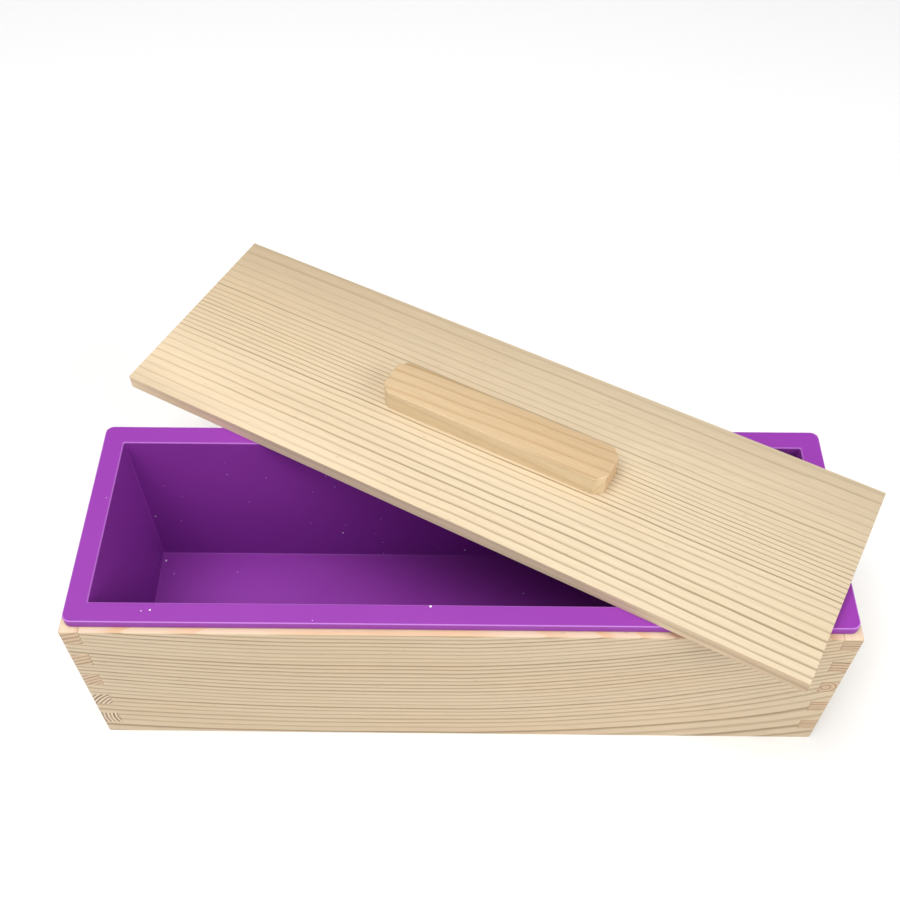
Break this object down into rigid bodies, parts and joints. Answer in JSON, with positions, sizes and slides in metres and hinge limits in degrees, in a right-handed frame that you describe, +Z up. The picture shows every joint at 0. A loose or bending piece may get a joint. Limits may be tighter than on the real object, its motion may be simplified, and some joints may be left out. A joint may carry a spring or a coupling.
{
  "type": "soap loaf mould",
  "caption": "Finger-jointed pine box with a lift-out silicone liner hung by its flange, and a loose wooden lid with a long grip, lying askew on top.",
  "frame": {"origin": "centre of the box's underside, on the surface that it stands on", "axes": "+Z up; +X along the box's length, to the right seen from the front; -Y towards the front board"},
  "size_m": [0.2963, 0.2092, 0.0995],
  "materials": {
    "pine_long_boards": "planed bare pine",
    "pine_end_boards": "planed bare pine, end grain on the fingers",
    "plywood_panel": "bare thin plywood",
    "purple_silicone": "satin moulded silicone",
    "pine_lid": "planed bare pine with strong straight grain",
    "pine_grip": "sanded bare pine",
    "screw_steel": "zinc-plated"
  },
  "bodies": {
    "box": {"front_wall": "pine_long_boards", "back_wall": "pine_long_boards", "left_end": "pine_end_boards", "right_end": "pine_end_boards", "bottom_panel": "plywood_panel"},
    "liner": {"liner": "purple_silicone"},
    "lid": {"lid_board": "pine_lid", "lid_grip": "pine_grip", "grip_screws": "screw_steel"}
  },
  "joints": [
    {"name": "liner_lift", "type": "slide", "parent": "box", "child": "liner", "axis": [0, 0, 1], "range_m": [0, 0.1]},
    {"name": "lid_lift", "type": "slide", "parent": "liner", "child": "lid", "axis": [0, 0, 1], "range_m": [0, 0.12]}
  ]
}
